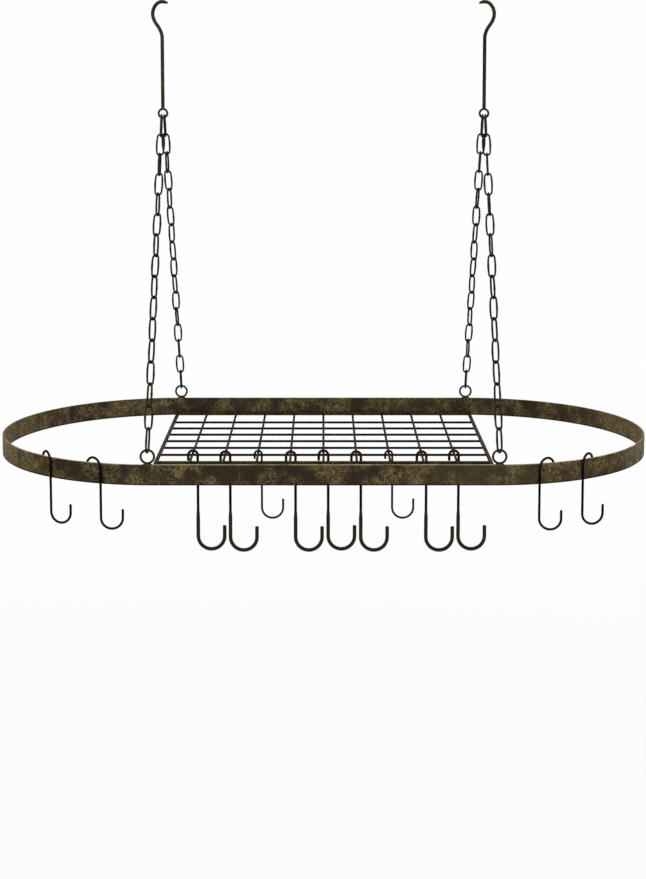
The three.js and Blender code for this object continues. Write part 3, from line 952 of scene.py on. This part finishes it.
# ---------- shelf
@dataclass
class Shelf:
    """The wire grid: two side bars, two end bars, and welded wires across."""

    long_wires: int = 9
    cross_wires: int = 9
    stop_bar: int = 3
    overrun: float = 0.3          # how far a rod's ends go into their welds
    bar_sides: int = 20
    wire_sides: int = 14
    # Each weld's length along X, Y and Z, and how far it lies from the end or top that it is on.
    bar_weld: Triple = (7.6, 1.7, 6.4)
    bar_weld_in: float = 0.45
    crossing_weld: Triple = (2.8, 2.8, 1.3)
    side_weld: Triple = (3.4, 2.6, 1.4)
    side_weld_up: float = 0.15
    end_weld: Triple = (3.8, 1.5, 3.6)
    end_weld_out: float = 0.1

    def lay(
        self, name: str, coat: Coat, sides: int, overrun: float = 0.0, beads: bool = False
    ) -> None:
        """Models a smooth rod where a straight rod of the frame lies.

        Args:
            name: The rod's name, which the frame's node has after "shelf_".
            coat: Its finish.
            sides: Faces round it.
            overrun: How much further each end goes, into its weld.
            beads: Whether a weld bead shows at each end.
        """
        node = f"shelf_{name}"
        low, high = (Vector(corner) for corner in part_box(node))
        size, middle = high - low, (low + high) / 2
        rod = start_from(
            bpy.ops.mesh.primitive_cylinder_add,
            vertices=sides,
            radius=size.z / 2,
            depth=max(size) + 2 * overrun * MM,
            location=middle,
            rotation=(0, math.pi / 2, 0) if size.x > size.y else (math.pi / 2, 0, 0),
        )
        bevel_corners(rod, 0.3)
        if beads:
            low, high = box_mm(node)
            middle = (low + high) / 2
            ends = (low.y + self.bar_weld_in, high.y - self.bar_weld_in)
            rod = join([rod, *(weld_bead(Vector((middle.x, y, middle.z)), self.bar_weld) for y in ends)])
        finish_piece(rod, name, coat.material(), "rack", [node])

    def cross_name(self, index: int) -> str:
        """A cross wire's name, counted from the front."""
        return "stop_bar" if index == self.stop_bar else f"cross_wire_{index}"

    def build_rods(self) -> None:
        """Models the bars, the long wires, the cross wires under them and the thicker stop bar."""
        for side in Side:
            self.lay(f"side_bar_{side.word}", SHELF_COAT, self.bar_sides, beads=True)
        # The rear bar took the band's brown, and the front one the cross wires' black.
        for row, coat in zip(Row, (UNDER_COAT, SHELF_COAT)):
            self.lay(f"end_bar_{row.word}", coat, self.bar_sides, self.overrun)
        for index in range(1, self.long_wires + 1):
            self.lay(f"long_wire_{index}", WIRE_COAT, self.wire_sides, self.overrun)
        for index in range(1, self.cross_wires + 1):
            if index == self.stop_bar:
                self.lay("stop_bar", SHELF_COAT, self.bar_sides)
            else:
                self.lay(self.cross_name(index), UNDER_COAT, self.wire_sides)

    def build_welds(self) -> None:
        """Models the spot weld at each crossing, and where each wire ends on a bar."""
        long_boxes = [box_mm(f"shelf_long_wire_{i}") for i in range(1, self.long_wires + 1)]
        long_middles = [(low + high) / 2 for low, high in long_boxes]
        long_bottom = long_boxes[0][0].z
        bar_xs = [sum(box_mm(f"shelf_side_bar_{side.word}"), Vector()).x / 2 for side in Side]
        spots = []
        for index in range(1, self.cross_wires + 1):
            low, high = box_mm(f"shelf_{self.cross_name(index)}")
            y = (low.y + high.y) / 2
            for middle in long_middles:
                spots.append(((middle.x, y, (high.z + long_bottom) / 2), self.crossing_weld))
            for x in bar_xs:
                spots.append(((x, y, high.z + self.side_weld_up), self.side_weld))
        for (low, high), middle in zip(long_boxes, long_middles):
            for y in (low.y - self.end_weld_out, high.y + self.end_weld_out):
                spots.append(((middle.x, y, long_middles[0].z), self.end_weld))
        pattern = start_from(bpy.ops.mesh.primitive_ico_sphere_add, subdivisions=2, radius=0.5 * MM)
        beads = [
            copy_to(pattern, Matrix.Translation(Vector(centre) * MM) @ Matrix.Diagonal((*size, 1.0)))
            for centre, size in spots
        ]
        discard(pattern)
        finish_piece(join(beads), "shelf_welds", SHELF_COAT.material(), "rack", [], 80.0)


# ---------- loose hooks
class HookSize(Enum):
    """The three loose hooks, in mm.

    Overall height, wire, arch radius, tail, bowl radius, lip, the wire low down, and how high
    above the bottom that thicker wire reaches.
    """

    PAN = (134.0, 3.5, 6.1, 7.0, 17.1, 14.0, 4.8, 50.0)
    SMALL = (91.0, 2.8, 4.6, 6.0, 13.7, 11.5, 2.8, 30.0)
    UTENSIL = (88.0, 3.0, 11.8, 4.0, 13.0, 10.5, 3.0, 30.0)

    def __init__(self, *sizes: float) -> None:
        """Keeps the sizes by name."""
        self.height, self.wire, self.arch, self.tail = sizes[:4]
        self.bowl, self.lip, self.low_wire, self.thick_length = sizes[4:]


@dataclass
class LooseHooks:
    """Thirteen open hooks: nine over the shelf's long wires, four over the band."""

    pan_hooks: int = 9
    wire_pitch: float = 42.1
    shelf_half: float = 210.5
    shelf_wire: float = 3.1
    setback: float = 50.3
    stagger: float = 2.7
    clearance: float = 0.3
    small_at: tuple[int, ...] = (3, 7)
    end_centre_x: float = 203.0
    # Degrees round the band's ends from its front, for the hooks at the left and the right.
    left_around: tuple[float, ...] = (38.6, 19.6)
    right_around: tuple[float, ...] = (17.3, 32.9)
    crossing: float = 19.0        # degrees by which an arch crosses the band slantwise
    arch_twist: float = 40.0      # degrees from a bowl's plane to its arch's

    @staticmethod
    def bend_hook(size: HookSize, shank: Vector, arch_side: Vector, bowl_side: Vector) -> Piece:
        """Bends one hook from its tail over the arch, down the shank and round the bowl.

        Args:
            size: Which hook.
            shank: The top of the arch's centre line over the shank, in millimetres.
            arch_side: The way the arch opens from the shank.
            bowl_side: The way the bowl opens.

        Returns:
            The hook's mesh object.
        """
        arch_top = shank.z
        bottom = arch_top + size.wire / 2 - size.height
        bowl_z = bottom + size.low_wire / 2 + size.bowl
        thick_from = bottom + size.thick_length
        start = shank + arch_side * (2 * size.arch)
        start.z = arch_top - size.arch - size.tail
        wire = WireBender(start, UP, size.wire / 2)
        wire.draw(size.tail)
        wire.bend(-arch_side, size.arch, 180.0, 18)
        wire.along = DOWN.copy()
        wire.draw(wire.at.z - thick_from - size.low_wire)
        for share in (0.5, 1.0):
            wire.draw(size.low_wire, (size.wire + (size.low_wire - size.wire) * share) / 2)
        wire.draw(wire.at.z - bowl_z)
        wire.bend(bowl_side, size.bowl, 180.0, 24)
        wire.along = UP.copy()
        wire.draw(size.lip)
        return wire.off(0.45)

    def hang_on_shelf(self) -> None:
        """Hangs the nine pan hooks over the shelf's long wires."""
        low, high = box_mm("shelf_long_wire_1")
        left, right = Vector((-1.0, 0.0, 0.0)), Vector((1.0, 0.0, 0.0))
        paint = PAN_HOOK_PAINT.material()
        for index in range(1, self.pan_hooks + 1):
            size = HookSize.SMALL if index in self.small_at else HookSize.PAN
            wire_x = -self.shelf_half + index * self.wire_pitch
            y = -self.setback + (self.stagger if index % 2 else -self.stagger)
            arch_top = (low.z + high.z + self.shelf_wire + size.wire) / 2 + self.clearance
            hook = self.bend_hook(size, Vector((wire_x + size.arch, y, arch_top)), left, right)
            name = f"pan_hook_{index}"
            finish_piece(hook, f"pan_hook_rod_{index}", paint, name, [name])

    def rest_height(self, size: HookSize) -> float:
        """How high a slanted arch's centre line rests above the band's top edge.

        Args:
            size: Which hook.

        Returns:
            The height, in millimetres.
        """
        reach = size.wire / 2 + self.clearance
        rest = reach
        samples = 60
        for sample in range(samples):
            along = size.arch * sample / samples
            past = max(along * math.sin(math.radians(self.crossing)) - BAND_THICKNESS / 2, 0.0)
            if past < reach:
                drop = size.arch - math.sqrt(size.arch**2 - along**2)
                rest = max(rest, drop + math.sqrt(reach**2 - past**2))
        return rest

    def hang_on_band(self) -> None:
        """Hangs the four utensil hooks over the band's ends."""
        size = HookSize.UTENSIL
        paint = UTENSIL_HOOK_PAINT.material()
        number = 1
        for side in Side:
            turns = self.left_around if side is Side.LEFT else self.right_around
            for degrees in turns:
                angle = math.radians(degrees)
                seat = Vector((
                    side.value * (self.end_centre_x + BAND_MID_Y * math.sin(angle)),
                    -BAND_MID_Y * math.cos(angle),
                    BAND_TOP + self.rest_height(size),
                ))
                arch_turn = angle + math.radians(self.crossing)
                bowl_turn = arch_turn - math.radians(self.arch_twist)
                arch_side = Vector((side.value * math.cos(arch_turn), math.sin(arch_turn), 0.0))
                bowl_side = Vector((math.cos(bowl_turn), side.value * math.sin(bowl_turn), 0.0))
                hook = self.bend_hook(size, seat - arch_side * size.arch, arch_side, bowl_side)
                name = f"utensil_hook_{number}"
                finish_piece(hook, f"utensil_hook_rod_{number}", paint, name, [name])
                number += 1


# ---------- stage
BACKDROP = "fefefe"


@dataclass
class Studio:
    """Pale floor, soft light and the camera at the photograph's angle."""

    floor_z: float = -1.32
    camera_at: Triple = (-0.0006, -2.121, -0.1139)
    tilt: float = 5.975
    lens: float = 66.98
    shift: float = -0.1994
    aim: Triple = (0.0, 0.0, -0.4)
    # Each lamp's name, place, size and watts.
    lamps: tuple[tuple[str, Triple, float, float], ...] = (
        ("key_box", (-1.5, -2.0, 0.9), 1.5, 30.0),
        ("fill_box", (1.9, -1.7, 0.1), 1.3, 14.0),
        ("back_box", (0.4, 2.0, 1.0), 1.6, 16.0),
    )

    def build_floor(self) -> None:
        """Lays a pale matt floor that shows near white to the camera and keeps its shadow."""
        deselect_all()
        bpy.ops.mesh.primitive_plane_add(size=30.0, location=(0, 0, self.floor_z))
        floor = bpy.context.object
        floor.name = "studio_floor"
        material = empty_material("studio_floor_paint")
        node = partial(add_node, material.node_tree)
        matt = node("BsdfDiffuse", {"Color": linear("f4f4f2")})
        white = node("Emission", {"Color": linear(BACKDROP), "Strength": 1.0})
        # Close by, the floor is a little darker, so that it reads as a floor.
        distance = node("VectorMath", (node("TexCoord", out="Object"),), "Value", operation="LENGTH")
        fading = node("MapRange", (distance, 0.8, 3.0, 0.88, 1.0), **SOFT)
        share = node("Math", (self.seen_directly(node), fading), operation="MULTIPLY")
        node("OutputMaterial", (node("MixShader", (share, matt, white)),))
        floor.data.materials.append(material)

    @staticmethod
    def seen_directly(node: Callable[..., Any]) -> bpy.types.NodeSocket:
        """Asks which rays see the pale surroundings directly.

        Args:
            node: Adds a node to the tree.

        Returns:
            An output that is 1 for camera, glossy and transmitted rays.
        """
        rays = node("LightPath").node.outputs
        either = node("Math", (rays["Is Camera Ray"], rays["Is Glossy Ray"]), operation="MAXIMUM")
        return node("Math", (either, rays["Is Transmission Ray"]), operation="MAXIMUM")

    def build_world(self) -> None:
        """Fills the room with soft grey light that looks white to the camera."""
        world = bpy.data.worlds.new("studio")
        bpy.context.scene.world = world
        world.use_nodes = True
        world.node_tree.nodes.clear()
        node = partial(add_node, world.node_tree)
        fill = node("Background", {"Color": linear("f6f4f0"), "Strength": 0.55})
        white = node("Background", {"Color": linear(BACKDROP), "Strength": 1.0})
        node("OutputWorld", (node("MixShader", (self.seen_directly(node), fill, white)),))

    def build_lamps(self) -> None:
        """Hangs three soft boxes: the key on the left, a fill on the right, one behind."""
        for name, place, size, watts in self.lamps:
            deselect_all()
            bpy.ops.object.light_add(type="AREA", location=place)
            lamp = bpy.context.object
            lamp.name = name
            lamp.data.size = size
            lamp.data.energy = watts
            aim = Vector(self.aim) - Vector(place)
            lamp.rotation_euler = aim.to_track_quat("-Z", "Y").to_euler()

    def build_camera(self) -> None:
        """Sets the camera up as the photograph's, for a frame of 646 by 879."""
        deselect_all()
        turned = (math.radians(90.0 - self.tilt), 0, 0)
        bpy.ops.object.camera_add(location=self.camera_at, rotation=turned)
        camera = bpy.context.object
        camera.data.sensor_width = 36.0
        camera.data.lens = self.lens
        camera.data.shift_y = self.shift
        camera.data.clip_end = 60.0
        bpy.context.scene.camera = camera

    def build(self) -> None:
        """Builds the whole studio."""
        self.build_floor()
        self.build_world()
        self.build_lamps()
        self.build_camera()
        bpy.context.scene.view_settings.view_transform = "Standard"


# ---------- main
def main() -> None:
    """Builds the rack in order, from the ceiling down, then the studio."""
    logging.basicConfig(level=logging.INFO, format="%(message)s")
    hooks = CeilingHooks()
    chains = Chains()
    rings = EyeRings()
    pattern = chains.link()
    for side in Side:
        hooks.build(side)
        for row in Row:
            chains.build(side, row, pattern)
            rings.build(side, row, chains.chain_x(side, row))
    discard(pattern)
    Band().build()
    shelf = Shelf()
    shelf.build_rods()
    shelf.build_welds()
    loose = LooseHooks()
    loose.hang_on_shelf()
    loose.hang_on_band()
    Studio().build()


if __name__ == "__main__":
    main()
